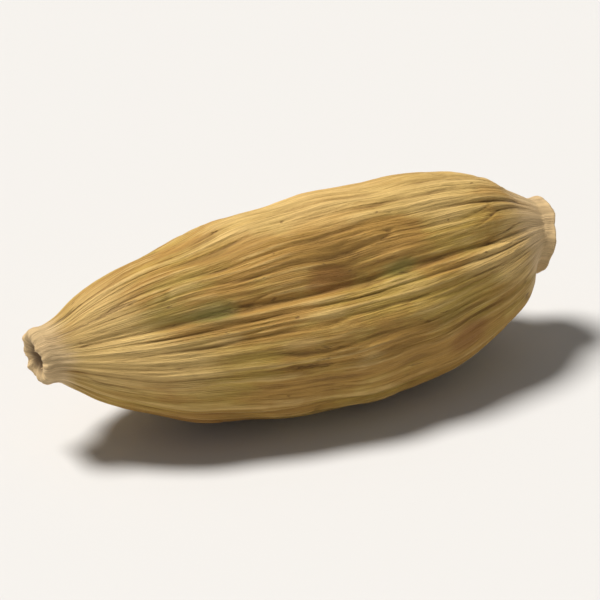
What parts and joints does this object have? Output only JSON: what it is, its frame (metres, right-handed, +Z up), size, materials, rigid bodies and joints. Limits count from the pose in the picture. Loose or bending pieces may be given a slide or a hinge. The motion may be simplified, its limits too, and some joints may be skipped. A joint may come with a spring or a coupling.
{
  "type": "green cardamom pod",
  "caption": "Dried closed spice capsule: a ribbed, bluntly three-sided spindle with a stalk stub at its blunt end and a withered flower tip at its tapered end.",
  "frame": {"origin": "on the surface that the pod rests on, below the middle of its bounding box", "axes": "+X along the pod, from its tapered flower tip towards its stalk stub; +Z up, as it lies"},
  "size_m": [0.0186, 0.007, 0.0066],
  "materials": {
    "husk": "matte"
  },
  "bodies": {
    "root": {"cardamom_pod": "husk"}
  },
  "joints": []
}
